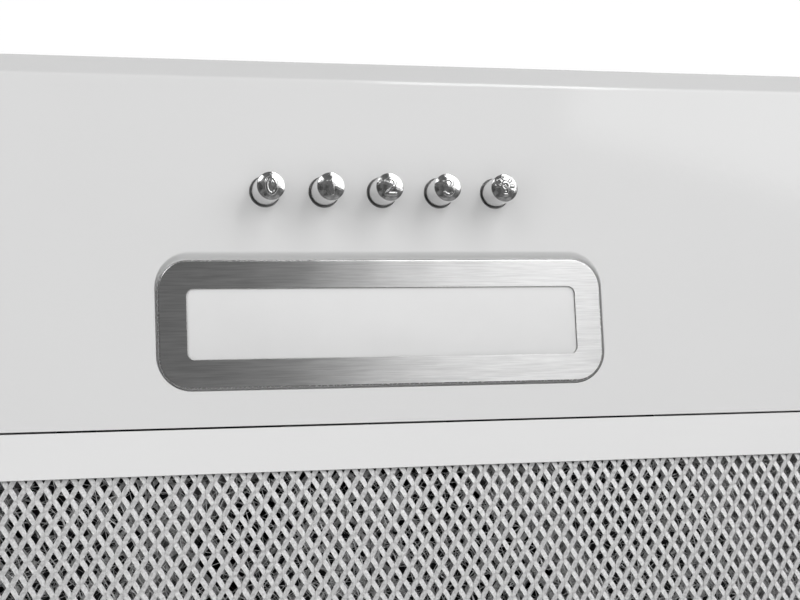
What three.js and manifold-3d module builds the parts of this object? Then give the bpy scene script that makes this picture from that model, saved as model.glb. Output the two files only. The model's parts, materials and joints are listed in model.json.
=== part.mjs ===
// An under cabinet range hood of the 600 mm class, as an assembly of separate pieces.
// Millimetres, +Z up, +X along the width, -Y towards the cook, +Y towards the wall.
// The origin is the centre of the top face, which is screwed up against the cabinet.
import * as THREE from 'three';
import { mergeVertices } from 'three/addons/utils/BufferGeometryUtils.js';
import Module from 'manifold-3d';

const wasm = await Module();
wasm.setup();

// ---------------------------------------------------------------- driving dimensions
const WIDTH = 600;
const DEPTH = 500;
const HEIGHT = 127;
const SHEET = 1;
const GAP = 0.3;
const CUT = 5;

const FRONT = -DEPTH / 2;
const REAR = DEPTH / 2;
const SIDE = WIDTH / 2;
const BOTTOM = -HEIGHT;
const CHAMFER = 8.34;

// Control panel: everything is laid out from the centre of the lamp.
const LAMP_Y = -159.6;
const SEAM_Y = LAMP_Y + 33.4;
const SEAM_WIDTH = 1;
const PANEL_REAR = SEAM_Y - SEAM_WIDTH / 2;
const BUTTON_Y = LAMP_Y - 43.8;
const BUTTON_PITCH = 20;
const BUTTON_RADIUS = 4.7;
const BUTTON_HOLE_RADIUS = 5.25;
const BUTTON_REACH = 10.6;
const DOME_HEIGHT = 1.4;
const BUTTON_TRAVEL = 4;

// Lamp.
const BEZEL = { width: 153, depth: 42.2, radius: 10.2 };
const BEZEL_WINDOW = { width: 134.1, depth: 23.2, radius: 2.5 };
const RECESS = { width: 154.6, depth: 46.4, radius: 12 };
const RECESS_Y = LAMP_Y - 0.8;
const RECESS_RISE = 1.5;
const LAMP_CUTOUT = { width: 144, depth: 34, radius: 3 };

// Grease filter.
const FILTER_HALF_WIDTH = 265;
const FILTER_FRONT = SEAM_Y + SEAM_WIDTH / 2;
const FILTER_REAR = 205;
const FILTER_THICKNESS = 9.5;
const FILTER_TOP = BOTTOM + FILTER_THICKNESS;
const RAIL = 14.4;
const MESH_LAP = 1.6;
const HINGE_CLEARANCE = 1.3;
const LATCH_X = 190;
const LATCH_TRAVEL = 5;

// Duct collar and its two damper flaps.
const DUCT_Y = 165;
const DUCT_RADIUS = 75.2;
const DUCT_BORE = 74;
const DUCT_HEIGHT = 60;
const DUCT_HOLE = 70;
const FLAP_RADIUS = 72.6;
const FLAP_PIN_OFFSET = 4;
const FLAP_PIN_Z = 10.4;
const FLAP_PIN_RADIUS = 1.5;

// Blower.
const FAN_Y = -45;
const SCROLL_BOTTOM = -91;
const SCROLL_WALL = 1.2;
const SCROLL_MIN = 103;
const SCROLL_MAX = 144;
const TONGUE_ANGLE = 60;
const TONGUE_X = 51.5;
const PLENUM_FRONT = 85;
const PLENUM_REAR = 240;
const INLET_HOLE = 78;
const WHEEL_RADIUS = 95;
const WHEEL_EYE = 80;
const CAGE_BOTTOM = -82;
const CAGE_TOP = -20.3;
const RIM = 2;
const BLADE_COUNT = 22;
const MOTOR_RADIUS = 46;
const SHAFT_RADIUS = 4;

// ---------------------------------------------------------------- materials
function paint(color, roughness, metalness) {
  return new THREE.MeshStandardMaterial({ color, roughness, metalness });
}

const MATERIALS = {
  whitePaint: paint(0xe9e9e7, 0.22, 0),
  galvanised: paint(0xa9adb0, 0.45, 1),
  zinc: paint(0xc6c8c8, 0.3, 1),
  chrome: paint(0xe4e6e8, 0.05, 1),
  brushedSteel: paint(0xc4c5c6, 0.32, 1),
  aluminium: paint(0xcfd1d3, 0.35, 1),
  frosted: paint(0xf2f2f0, 0.45, 0),
  blackPlastic: paint(0x1c1c1e, 0.5, 0),
  greyPlastic: paint(0x8e9092, 0.5, 0),
  whitePlastic: paint(0xe4e4e0, 0.45, 0),
  rubber: paint(0x202020, 0.85, 0),
  circuitBoard: paint(0xf0f0ea, 0.4, 0),
  motorPaint: paint(0x2b2d30, 0.4, 0.2),
};

// ---------------------------------------------------------------- solid helpers
// A closed geometry becomes a solid; a geometry that came out inside-out is turned round.
function solidOf(source) {
  let geometry = source.index ? source.clone() : source;
  geometry.deleteAttribute('normal');
  geometry.deleteAttribute('uv');
  geometry = mergeVertices(geometry, 1e-4);
  const points = geometry.attributes.position.array;
  const index = geometry.index.array;
  const faces = [];
  let volume = 0;
  for (let i = 0; i < index.length; i += 3) {
    const face = [index[i], index[i + 1], index[i + 2]];
    if (face[0] === face[1] || face[1] === face[2] || face[2] === face[0]) {
      continue;
    }
    const [a, b, c] = face.map((v) => new THREE.Vector3().fromArray(points, 3 * v));
    volume += a.dot(b.cross(c));
    faces.push(face);
  }
  if (volume < 0) {
    faces.forEach((face) => face.reverse());
  }
  return new wasm.Manifold(new wasm.Mesh({
    numProp: 3,
    vertProperties: new Float32Array(points),
    triVerts: new Uint32Array(faces.flat()),
  }));
}

function geometryOf(solid) {
  const mesh = solid.getMesh();
  const geometry = new THREE.BufferGeometry();
  geometry.setAttribute('position', new THREE.BufferAttribute(mesh.vertProperties, 3));
  geometry.setIndex(new THREE.BufferAttribute(mesh.triVerts, 1));
  return geometry;
}

function box(x0, x1, y0, y1, z0, z1) {
  const geometry = new THREE.BoxGeometry(x1 - x0, y1 - y0, z1 - z0);
  return solidOf(geometry.translate((x0 + x1) / 2, (y0 + y1) / 2, (z0 + z1) / 2));
}

// A cylinder along Z.
function rod(x, y, radius, z0, z1, sides = 24) {
  const geometry = new THREE.CylinderGeometry(radius, radius, z1 - z0, sides);
  geometry.rotateX(Math.PI / 2);
  return solidOf(geometry.translate(x, y, (z0 + z1) / 2));
}

// A cylinder along X.
function rodAlongX(x0, x1, y, z, radius, sides = 24) {
  const geometry = new THREE.CylinderGeometry(radius, radius, x1 - x0, sides);
  geometry.rotateZ(Math.PI / 2);
  return solidOf(geometry.translate((x0 + x1) / 2, y, z));
}

// A cylinder along Y.
function rodAlongY(x, z, y0, y1, radius, sides = 24) {
  const geometry = new THREE.CylinderGeometry(radius, radius, y1 - y0, sides);
  return solidOf(geometry.translate(x, (y0 + y1) / 2, z));
}

// An outline in X and Y, raised from z0 to z1.
function prism(outline, z0, z1, curveSegments = 4) {
  const shape = Array.isArray(outline) ? shapeOf(outline) : outline;
  const options = { depth: z1 - z0, bevelEnabled: false, curveSegments };
  return solidOf(new THREE.ExtrudeGeometry(shape, options).translate(0, 0, z0));
}

// An outline in Y and Z, drawn out along X.
function prismAlongX(outline, x0, x1) {
  const options = { depth: x1 - x0, bevelEnabled: false };
  const geometry = new THREE.ExtrudeGeometry(shapeOf(outline), options);
  const toX = new THREE.Vector3(1, 0, 0);
  const toY = new THREE.Vector3(0, 1, 0);
  const toZ = new THREE.Vector3(0, 0, 1);
  geometry.applyMatrix4(new THREE.Matrix4().makeBasis(toY, toZ, toX));
  return solidOf(geometry.translate(x0, 0, 0));
}

// An outline in X and Z, drawn out along Y.
function prismAlongY(outline, y0, y1) {
  const options = { depth: y1 - y0, bevelEnabled: false };
  const geometry = new THREE.ExtrudeGeometry(shapeOf(outline), options);
  geometry.rotateX(Math.PI / 2);
  return solidOf(geometry.translate(0, y1, 0));
}

// A profile of [radius, z] points turned round a vertical axis through x, y.
function turned(x, y, profile, sides = 24) {
  const points = profile.map(([radius, z]) => new THREE.Vector2(radius, z));
  const geometry = new THREE.LatheGeometry(points, sides);
  geometry.rotateX(Math.PI / 2);
  return solidOf(geometry.translate(x, y, 0));
}

// A ring: the profile is closed on itself.
function ring(x, y, profile, sides = 32) {
  return turned(x, y, [...profile, profile[0]], sides);
}

function shapeOf(points) {
  return new THREE.Shape(points.map(([u, v]) => new THREE.Vector2(u, v)));
}

function roundedRectangle(cx, cy, { width, depth, radius }) {
  const shape = new THREE.Shape();
  const x0 = cx - width / 2;
  const x1 = cx + width / 2;
  const y0 = cy - depth / 2;
  const y1 = cy + depth / 2;
  shape.moveTo(x0 + radius, y0);
  shape.lineTo(x1 - radius, y0);
  shape.absarc(x1 - radius, y0 + radius, radius, -Math.PI / 2, 0);
  shape.lineTo(x1, y1 - radius);
  shape.absarc(x1 - radius, y1 - radius, radius, 0, Math.PI / 2);
  shape.lineTo(x0 + radius, y1);
  shape.absarc(x0 + radius, y1 - radius, radius, Math.PI / 2, Math.PI);
  shape.lineTo(x0, y0 + radius);
  shape.absarc(x0 + radius, y0 + radius, radius, Math.PI, 1.5 * Math.PI);
  return shape;
}

function union(solids) {
  return solids.reduce((sum, next) => sum.add(next));
}

function without(solid, cutters) {
  return cutters.reduce((rest, next) => rest.subtract(next), solid);
}

const group = new THREE.Group();

function add(name, solid, material) {
  const mesh = new THREE.Mesh(geometryOf(solid), MATERIALS[material]);
  mesh.name = name;
  group.add(mesh);
}

// ---------------------------------------------------------------- casing
const FLANGE = 34;
const PANEL_TOP = -SHEET - GAP;
const PANEL_HALF_WIDTH = SIDE - SHEET - GAP;
const BEND_INSET = SHEET * Math.tan(Math.PI / 8);
const KEYHOLES = [[-250, -30], [250, -30], [-250, 205], [250, 205]];
const KEYHOLE_RADIUS = 5;
const KEYHOLE_SLOT = 12;
const GLAND = { x: -270, y: 145, hole: 8.6 };
const COLLAR_SCREW_RADIUS = 79;
const COLLAR_SCREW_ANGLES = [45, 135, 225, 315];
const SCREW_HOLE = 2.3;
const SCROLL_SCREWS = [[-124, -20], [148, -20], [-148, 232], [148, 232]];
const STUD_X = 68;
const STUD_RADIUS = 2;
const STUD_TOP = -114;

function onCircle(cx, cy, radius, degrees) {
  const angle = THREE.MathUtils.degToRad(degrees);
  return [cx + radius * Math.cos(angle), cy + radius * Math.sin(angle)];
}

const COLLAR_SCREWS = COLLAR_SCREW_ANGLES.map(
  (angle) => onCircle(0, DUCT_Y, COLLAR_SCREW_RADIUS, angle),
);

function topPanel() {
  const cutters = [
    rod(0, DUCT_Y, DUCT_HOLE, -CUT, CUT, 40),
    rod(GLAND.x, GLAND.y, GLAND.hole, -CUT, CUT),
  ];
  for (const [x, y] of KEYHOLES) {
    const half = KEYHOLE_RADIUS / 2;
    cutters.push(rod(x, y, KEYHOLE_RADIUS, -CUT, CUT, 12));
    cutters.push(box(x - half, x + half, y, y + KEYHOLE_SLOT, -CUT, CUT));
  }
  for (const [x, y] of [...COLLAR_SCREWS, ...SCROLL_SCREWS]) {
    cutters.push(rod(x, y, SCREW_HOLE, -CUT, CUT, 10));
  }
  return without(box(-SIDE, SIDE, FRONT, REAR, -SHEET, 0), cutters);
}

// Fascia, chamfered lower edge and underside are one bent sheet.
function frontSheet() {
  const weldFlange = 12;
  const inner = FRONT + SHEET;
  return prismAlongX([
    [FRONT, PANEL_TOP],
    [FRONT, BOTTOM + CHAMFER],
    [FRONT + CHAMFER, BOTTOM],
    [PANEL_REAR, BOTTOM],
    [PANEL_REAR, BOTTOM + SHEET],
    [FRONT + CHAMFER + BEND_INSET, BOTTOM + SHEET],
    [inner, BOTTOM + CHAMFER + BEND_INSET],
    [inner, PANEL_TOP - SHEET],
    [inner + weldFlange, PANEL_TOP - SHEET],
    [inner + weldFlange, PANEL_TOP],
  ], -PANEL_HALF_WIDTH, PANEL_HALF_WIDTH);
}

function grown(outline, amount) {
  return {
    width: outline.width + 2 * amount,
    depth: outline.depth + 2 * amount,
    radius: outline.radius + amount,
  };
}

function frontPanel() {
  const floor = BOTTOM + RECESS_RISE;
  const outline = roundedRectangle(0, RECESS_Y, grown(RECESS, SHEET));
  const pan = prism(outline, BOTTOM + SHEET / 2, floor + SHEET);
  const studs = [-STUD_X, STUD_X].map(
    (x) => rod(x, BUTTON_Y, STUD_RADIUS, BOTTOM + SHEET / 2, STUD_TOP, 12),
  );
  const cutters = [
    prism(roundedRectangle(0, RECESS_Y, RECESS), BOTTOM - CUT, floor),
    prism(roundedRectangle(0, LAMP_Y, LAMP_CUTOUT), BOTTOM - CUT, BOTTOM + CUT),
  ];
  for (const x of buttonPlaces()) {
    cutters.push(rod(x, BUTTON_Y, BUTTON_HOLE_RADIUS, BOTTOM - CUT, BOTTOM + CUT));
  }
  return without(union([frontSheet(), pan, ...studs]), cutters);
}

function sidePanel(side) {
  const wall = prismAlongX([
    [FRONT, PANEL_TOP],
    [FRONT, BOTTOM + CHAMFER],
    [FRONT + CHAMFER, BOTTOM],
    [REAR, BOTTOM],
    [REAR, PANEL_TOP],
  ], SIDE - SHEET, SIDE);
  const flange = box(SIDE - FLANGE, SIDE, PANEL_REAR + GAP, REAR, BOTTOM, BOTTOM + SHEET);
  const panel = wall.add(flange);
  return side > 0 ? panel : panel.mirror([1, 0, 0]);
}

function backPanel() {
  const inner = REAR - SHEET;
  const flangeHalfWidth = SIDE - FLANGE - GAP;
  const flangeFront = FILTER_REAR + HINGE_CLEARANCE;
  return union([
    box(-PANEL_HALF_WIDTH, PANEL_HALF_WIDTH, inner, REAR, BOTTOM + SHEET + GAP, PANEL_TOP),
    box(-flangeHalfWidth, flangeHalfWidth, flangeFront, REAR, BOTTOM, BOTTOM + SHEET),
    box(-flangeHalfWidth, flangeHalfWidth, inner, REAR, BOTTOM, BOTTOM + CUT),
  ]);
}

// ---------------------------------------------------------------- duct collar and damper
function ductCollar() {
  const flangeTop = GAP + 1.5;
  const ledge = 7;
  const taper = 0.8;
  const collar = ring(0, DUCT_Y, [
    [DUCT_HOLE, GAP],
    [84, GAP],
    [84, flangeTop],
    [DUCT_RADIUS, flangeTop],
    [DUCT_RADIUS, DUCT_HEIGHT - 4],
    [DUCT_RADIUS - taper, DUCT_HEIGHT],
    [DUCT_BORE - taper, DUCT_HEIGHT],
    [DUCT_BORE, DUCT_HEIGHT - 4],
    [DUCT_BORE, ledge],
    [DUCT_HOLE, ledge],
  ], 40);
  const pinHoles = [-1, 1].map(
    (side) => rodAlongX(-80, 80, DUCT_Y + side * FLAP_PIN_OFFSET, FLAP_PIN_Z, FLAP_PIN_RADIUS + GAP, 12),
  );
  const screwHoles = COLLAR_SCREWS.map(([x, y]) => rod(x, y, SCREW_HOLE, -CUT, CUT, 10));
  return without(collar, [...pinHoles, ...screwHoles]);
}

function damperPin(side) {
  const y = DUCT_Y + side * FLAP_PIN_OFFSET;
  return rodAlongX(-DUCT_RADIUS + GAP, DUCT_RADIUS - GAP, y, FLAP_PIN_Z, FLAP_PIN_RADIUS, 12);
}

// Half a disc with a barrel along its straight edge, turning on its pin.
function damperFlap(side) {
  const barrel = 3;
  const pinY = DUCT_Y + side * FLAP_PIN_OFFSET;
  const plateBottom = FLAP_PIN_Z - barrel;
  const half = box(-DUCT_BORE, DUCT_BORE, Math.min(pinY, pinY + side * DUCT_BORE),
    Math.max(pinY, pinY + side * DUCT_BORE), plateBottom, plateBottom + 1.2);
  const plate = rod(0, DUCT_Y, FLAP_RADIUS, plateBottom, plateBottom + 1.2, 40).intersect(half);
  const body = plate.add(rodAlongX(-62, 62, pinY, FLAP_PIN_Z, barrel, 16));
  return body.subtract(rodAlongX(-80, 80, pinY, FLAP_PIN_Z, FLAP_PIN_RADIUS + 0.4, 16));
}

// A pan head screw; direction +1 puts its head on top, -1 below.
function screw(x, y, faceZ, direction, length) {
  const profile = [
    [0, faceZ + direction * 2.4],
    [2.4, faceZ + direction * 2.2],
    [3.6, faceZ + direction * 1.2],
    [3.6, faceZ + direction * GAP],
    [1.8, faceZ + direction * GAP],
    [1.8, faceZ - direction * length],
    [0, faceZ - direction * length],
  ];
  return turned(x, y, profile, 10);
}

// ---------------------------------------------------------------- blower
const SCROLL_TOP = PANEL_TOP;

// The plan of the scroll: spiral, throat and outlet box, grown or shrunk by an offset.
function scrollPlan(offset, z0, z1) {
  const spiral = [[0, FAN_Y]];
  const step = 15;
  for (let degrees = TONGUE_ANGLE; degrees <= 360; degrees += step) {
    const share = (degrees - TONGUE_ANGLE) / (360 - TONGUE_ANGLE);
    const radius = SCROLL_MIN + share * (SCROLL_MAX - SCROLL_MIN) + offset;
    spiral.push(onCircle(0, FAN_Y, radius, degrees));
  }
  const outer = SCROLL_MAX + offset;
  const overlap = 6;
  return union([
    prism(spiral, z0, z1),
    rod(0, FAN_Y, SCROLL_MIN + offset, z0, z1, 48),
    box(TONGUE_X - offset, outer, FAN_Y, PLENUM_FRONT + overlap, z0, z1),
    box(-outer, outer, PLENUM_FRONT - offset, PLENUM_REAR + offset, z0, z1),
  ]);
}

function scrollHousing() {
  const flange = 8;
  const notch = box(-134, -100, FAN_Y - 5, FAN_Y + 5, -13, CUT);
  const cutters = [
    scrollPlan(-SCROLL_WALL, SCROLL_BOTTOM + SCROLL_WALL, CUT),
    rod(0, FAN_Y, INLET_HOLE, SCROLL_BOTTOM - CUT, SCROLL_BOTTOM + CUT, 40),
    notch,
  ];
  for (const [x, y] of SCROLL_SCREWS) {
    cutters.push(rod(x, y, SCREW_HOLE, -CUT, CUT, 10));
  }
  const tub = scrollPlan(0, SCROLL_BOTTOM, SCROLL_TOP);
  return without(tub.add(scrollPlan(flange, SCROLL_TOP - SHEET, SCROLL_TOP)), cutters);
}

function inletRing() {
  const face = SCROLL_BOTTOM - GAP;
  return ring(0, FAN_Y, [
    [88, face],
    [88, face - 1.5],
    [81, face - 1.5],
    [77, face - 0.6],
    [74, face + 3],
    [74, face + 6.3],
    [75.2, face + 6.3],
    [75.4, face + 3],
    [77, face],
  ]);
}

function inletGuard() {
  const wire = 1.2;
  const z = SCROLL_BOTTOM - GAP - 1.5 - GAP - wire;
  const rings = [28, 54, 78].map((radius) => {
    const geometry = new THREE.TorusGeometry(radius, wire, 5, 20);
    return solidOf(geometry.translate(0, FAN_Y, z));
  });
  const spokes = [rodAlongX(-85, 85, FAN_Y, z, wire, 5), rodAlongY(0, z, FAN_Y - 85, FAN_Y + 85, wire, 5)];
  return union([...rings, ...spokes]);
}

// A forward-curved blade between its inner and outer radius, bowed towards +Y.
function blade(angle) {
  const inner = WHEEL_EYE + 0.5;
  const outer = WHEEL_RADIUS - 0.5;
  const bow = 3;
  const thickness = 1;
  const lower = [];
  const upper = [];
  const steps = 2;
  for (let i = 0; i <= steps; i += 1) {
    const share = i / steps;
    const x = inner + share * (outer - inner);
    const y = bow * share * share;
    lower.push([x, y]);
    upper.unshift([x, y + thickness]);
  }
  const shape = prism([...lower, ...upper], CAGE_BOTTOM + RIM / 2, CAGE_TOP - RIM / 2);
  return shape.rotate([0, 0, angle]).translate([0, FAN_Y, 0]);
}

// The wheel is two pieces: a disc with a hub and a cup round the motor, and the blade cage under it.
function impellerHub() {
  const bore = SHAFT_RADIUS + GAP;
  const plateBottom = CAGE_TOP + GAP;
  const plateTop = plateBottom + RIM;
  const cupBottom = -66;
  const boss = 10;
  return ring(0, FAN_Y, [
    [bore, cupBottom],
    [50.5, cupBottom],
    [54, plateBottom],
    [WHEEL_RADIUS, plateBottom],
    [WHEEL_RADIUS, plateTop],
    [52.2, plateTop],
    [48.8, cupBottom + RIM],
    [boss, cupBottom + RIM],
    [boss, cupBottom + boss],
    [bore, cupBottom + boss],
  ]);
}

function cageRim(z0) {
  const z1 = z0 + RIM;
  return ring(0, FAN_Y, [[WHEEL_EYE, z0], [WHEEL_RADIUS, z0], [WHEEL_RADIUS, z1], [WHEEL_EYE, z1]]);
}

function impellerCage() {
  const blades = [];
  for (let i = 0; i < BLADE_COUNT; i += 1) {
    blades.push(blade(360 * i / BLADE_COUNT));
  }
  return union([cageRim(CAGE_BOTTOM), cageRim(CAGE_TOP - RIM), ...blades]);
}

const MOTOR_TOP = -12;
const MOTOR_BOTTOM = -54;
const GROMMET_ANGLES = [90, 210, 330];
const GROMMET_CIRCLE = 54;
const BRACKET_TOP = -1.6;
const BRACKET_BOTTOM = -3.6;

function motorBody() {
  const casing = turned(0, FAN_Y, [
    [0, MOTOR_BOTTOM],
    [MOTOR_RADIUS - 5, MOTOR_BOTTOM],
    [MOTOR_RADIUS, MOTOR_BOTTOM + 4],
    [MOTOR_RADIUS, MOTOR_TOP - 3],
    [MOTOR_RADIUS - 3, MOTOR_TOP],
    [0, MOTOR_TOP],
  ]);
  const lugs = GROMMET_ANGLES.map((angle) => {
    const lug = box(MOTOR_RADIUS - 8, GROMMET_CIRCLE + 6, -6, 6, MOTOR_TOP - 2, MOTOR_TOP);
    return lug.rotate([0, 0, angle]).translate([0, FAN_Y, 0]);
  });
  const terminal = box(-33.7, -22, FAN_Y - 7, FAN_Y + 7, MOTOR_TOP - 1, BRACKET_BOTTOM - 0.8);
  const shaftBore = rod(0, FAN_Y, SHAFT_RADIUS + 0.4, MOTOR_BOTTOM - CUT, -30);
  return without(union([casing, ...lugs, terminal]), [shaftBore]);
}

function motorShaft() {
  return rod(0, FAN_Y, SHAFT_RADIUS, -69, -31);
}

function motorBracket() {
  const holes = GROMMET_ANGLES.map((angle) => {
    const [x, y] = onCircle(0, FAN_Y, GROMMET_CIRCLE, angle);
    return rod(x, y, 4.4, -10, CUT, 12);
  });
  return without(rod(0, FAN_Y, 63, BRACKET_BOTTOM, BRACKET_TOP, 32), holes);
}

function motorGrommet(angle) {
  const [x, y] = onCircle(0, FAN_Y, GROMMET_CIRCLE, angle);
  return turned(x, y, [
    [0, MOTOR_TOP + GAP],
    [6, MOTOR_TOP + GAP],
    [7, MOTOR_TOP + 1.5],
    [7, BRACKET_BOTTOM - 1.2],
    [6, BRACKET_BOTTOM - GAP],
    [4, BRACKET_BOTTOM - GAP],
    [4, BRACKET_TOP - 0.4],
    [0, BRACKET_TOP - 0.4],
  ], 12);
}

// ---------------------------------------------------------------- wiring pieces
const CAPACITOR = { x: 222, z: -19, radius: 16 };

function capacitor() {
  return union([
    rodAlongY(CAPACITOR.x, CAPACITOR.z, -45, 15, CAPACITOR.radius),
    rodAlongY(CAPACITOR.x, CAPACITOR.z, 15 - SHEET, 19, 7, 12),
    box(CAPACITOR.x - 5, CAPACITOR.x - 2, 18, 27, CAPACITOR.z - 3, CAPACITOR.z + 3),
    box(CAPACITOR.x + 2, CAPACITOR.x + 5, 18, 27, CAPACITOR.z - 3, CAPACITOR.z + 3),
  ]);
}

function capacitorClip() {
  const { x, z, radius } = CAPACITOR;
  const inner = radius + 0.4;
  const outer = inner + 1.5;
  const foot = outer + 10;
  const [y0, y1] = [-24, -10];
  const top = PANEL_TOP - GAP;
  const band = rodAlongY(x, z, y0, y1, outer);
  const legs = box(x - outer, x + outer, y0, y1, z, top);
  const feet = box(x - foot, x + foot, y0, y1, top - 1.2, top);
  const cutters = [
    rodAlongY(x, z, y0 - CUT, y1 + CUT, inner),
    box(x - inner, x + inner, y0 - CUT, y1 + CUT, z, CUT),
  ];
  return without(union([band, legs, feet]), cutters);
}

const BOX = { x0: -285, x1: -205, y0: 60, y1: 160, z0: -45, top: -1.4, wall: 2 };
const LEAD_HOLE = 3.2;
const LEAD_RADIUS = 2.2;
const MOTOR_LEAD_PORT = { y: 80, z: -12 };
const FRONT_PORTS = [{ x: -245, z: -25 }, { x: -262, z: -25 }];

function junctionBox() {
  const { x0, x1, y0, y1, z0, top, wall } = BOX;
  const cutters = [
    box(x0 + wall, x1 - wall, y0 + wall, y1 - wall, z0 - CUT, top - wall),
    rod(GLAND.x, GLAND.y, GLAND.hole, -20, CUT),
    rodAlongX(x1 - CUT, x1 + CUT, MOTOR_LEAD_PORT.y, MOTOR_LEAD_PORT.z, LEAD_HOLE, 12),
  ];
  for (const port of FRONT_PORTS) {
    cutters.push(rodAlongY(port.x, port.z, y0 - CUT, y0 + CUT, LEAD_HOLE, 12));
  }
  return without(box(x0, x1, y0, y1, z0, top), cutters);
}

function junctionBoxCover() {
  const { x0, x1, y0, y1, z0, wall } = BOX;
  const plate = box(x0, x1, y0, y1, z0 - GAP - 2, z0 - GAP);
  const inset = wall + 0.4;
  const lip = box(x0 + inset, x1 - inset, y0 + inset, y1 - inset, z0 - CUT / 2, z0 + 3);
  const lipCore = box(x0 + inset + 2, x1 - inset - 2, y0 + inset + 2, y1 - inset - 2, z0 - GAP, z0 + CUT);
  return plate.add(lip.subtract(lipCore));
}

function terminalBlock() {
  const top = BOX.top - BOX.wall - GAP;
  const cutters = [];
  for (const x of [-258, -245, -232]) {
    cutters.push(rod(x, 110, 2, -30, top - 6, 10));
    cutters.push(rodAlongY(x, -15, 90, 104, 2, 10));
  }
  return without(box(-266, -224, 98, 122, -22, top), cutters);
}

function cableGland() {
  const bore = 5;
  const roof = BOX.top - BOX.wall;
  return ring(GLAND.x, GLAND.y, [
    [bore, 3],
    [bore + 1.5, 4],
    [10, 4],
    [11, 2.5],
    [11, GAP],
    [8.2, GAP],
    [8.2, roof - GAP],
    [10.5, roof - GAP],
    [9.5, roof - 4],
    [bore, roof - 4],
  ], 16);
}

// A lead along a smooth curve through the given points.
function lead(points, steps) {
  const path = new THREE.CatmullRomCurve3(points.map((point) => new THREE.Vector3(...point)));
  const section = [];
  const sides = 6;
  for (let i = 0; i < sides; i += 1) {
    section.push(onCircle(0, 0, LEAD_RADIUS, 360 * i / sides));
  }
  return solidOf(new THREE.ExtrudeGeometry(shapeOf(section), { steps, extrudePath: path }));
}

function motorLead() {
  const { y, z } = MOTOR_LEAD_PORT;
  return lead([
    [BOX.x1 - 8, y, z], [BOX.x1 + 8, y, z], [-170, 52, -9.5], [-145, -10, -8],
    [-126, FAN_Y, -8], [-100, FAN_Y, -8], [-60, FAN_Y, -8], [-34.1, FAN_Y, -8],
  ], 20);
}

function controlLead() {
  const [port] = FRONT_PORTS;
  return lead([
    [-45, BUTTON_Y, SWITCH_TOP + GAP], [-45, BUTTON_Y, SWITCH_TOP + 8], [-80, -200, -66],
    [-150, -180, -46], [-205, -100, -36], [-240, -20, -27], [port.x, 40, port.z], [port.x, 67, port.z],
  ], 20);
}

function lampLead() {
  const port = FRONT_PORTS[1];
  return lead([
    [-55, LAMP_Y, LAMP_PAN_TOP + GAP], [-55, LAMP_Y, LAMP_PAN_TOP + 8], [-90, -158, -96],
    [-140, -148, -84], [-200, -110, -58], [-240, -40, -38], [port.x, 20, port.z - 2],
    [port.x, 50, port.z], [port.x, 67, port.z],
  ], 20);
}

// ---------------------------------------------------------------- controls
const SWITCH_BOTTOM = -116;
const SWITCH_TOP = -92;
const BRACKET_PLATE = { z0: -118.3, z1: -116.8 };
const NUT_HEIGHT = 3.2;

function buttonPlaces() {
  return [-2, -1, 0, 1, 2].map((step) => step * BUTTON_PITCH);
}

function button(x) {
  const rim = BOTTOM - BUTTON_REACH;
  const panelTop = BOTTOM + SHEET;
  const flange = 6.2;
  const stem = 2.2;
  return turned(x, BUTTON_Y, [
    [0, rim - DOME_HEIGHT],
    [BUTTON_RADIUS * 0.4, rim - DOME_HEIGHT * 0.84],
    [BUTTON_RADIUS * 0.75, rim - DOME_HEIGHT * 0.46],
    [BUTTON_RADIUS, rim],
    [BUTTON_RADIUS, panelTop + GAP],
    [flange, panelTop + GAP],
    [flange, panelTop + GAP + 1.5],
    [stem, panelTop + GAP + 1.5],
    [stem, -108],
    [0, -108],
  ], 20);
}

function switchBlock() {
  const cutters = buttonPlaces().map((x) => rod(x, BUTTON_Y, 2.8, SWITCH_BOTTOM - CUT, -100, 12));
  const body = box(-52, 52, BUTTON_Y - 12, BUTTON_Y + 12, SWITCH_BOTTOM, SWITCH_TOP);
  const terminals = [-30, -10, 10, 30].map(
    (x) => box(x - 3, x + 3, BUTTON_Y - 0.4, BUTTON_Y + 0.4, SWITCH_TOP - 1, SWITCH_TOP + 7),
  );
  return without(union([body, ...terminals]), cutters);
}

// A low bridge over the buttons: plate, two legs and two feet on the studs.
function switchBracket() {
  const foot = BOTTOM + SHEET + GAP;
  const leg = 58;
  const half = prismAlongY([
    [0, BRACKET_PLATE.z1],
    [leg, BRACKET_PLATE.z1],
    [leg, foot + 1.5],
    [STUD_X + 7, foot + 1.5],
    [STUD_X + 7, foot],
    [leg - 1.5, foot],
    [leg - 1.5, BRACKET_PLATE.z0],
    [0, BRACKET_PLATE.z0],
  ], BUTTON_Y - 11, BUTTON_Y + 11);
  const cutters = buttonPlaces().map((x) => rod(x, BUTTON_Y, 7, -125, -110, 14));
  for (const x of [-STUD_X, STUD_X]) {
    cutters.push(rod(x, BUTTON_Y, STUD_RADIUS + 0.4, -130, -110, 12));
  }
  return without(half.add(half.mirror([1, 0, 0])), cutters);
}

function switchNut(x) {
  const bottom = BOTTOM + SHEET + GAP + 1.5 + GAP;
  const hexagon = rod(x, BUTTON_Y, 4, bottom, bottom + NUT_HEIGHT, 6);
  return hexagon.subtract(rod(x, BUTTON_Y, STUD_RADIUS + GAP, -130, -110, 16));
}

// ---------------------------------------------------------------- lamp
const RECESS_FLOOR = BOTTOM + RECESS_RISE;
const BEZEL_BACK = RECESS_FLOOR - GAP;
const BEZEL_FACE = BOTTOM - 0.6;
const LAMP_PAN = { width: 142, depth: 32, radius: 2.5 };
const LAMP_PAN_BOTTOM = RECESS_FLOOR + 2.3;
const LAMP_PAN_TOP = -109.2;
const PAN_WALL = 1.2;

function lampBezel() {
  const plate = prism(roundedRectangle(0, LAMP_Y, BEZEL), BEZEL_FACE, BEZEL_BACK);
  return plate.subtract(prism(roundedRectangle(0, LAMP_Y, BEZEL_WINDOW), BOTTOM - CUT, BOTTOM + CUT));
}

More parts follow.
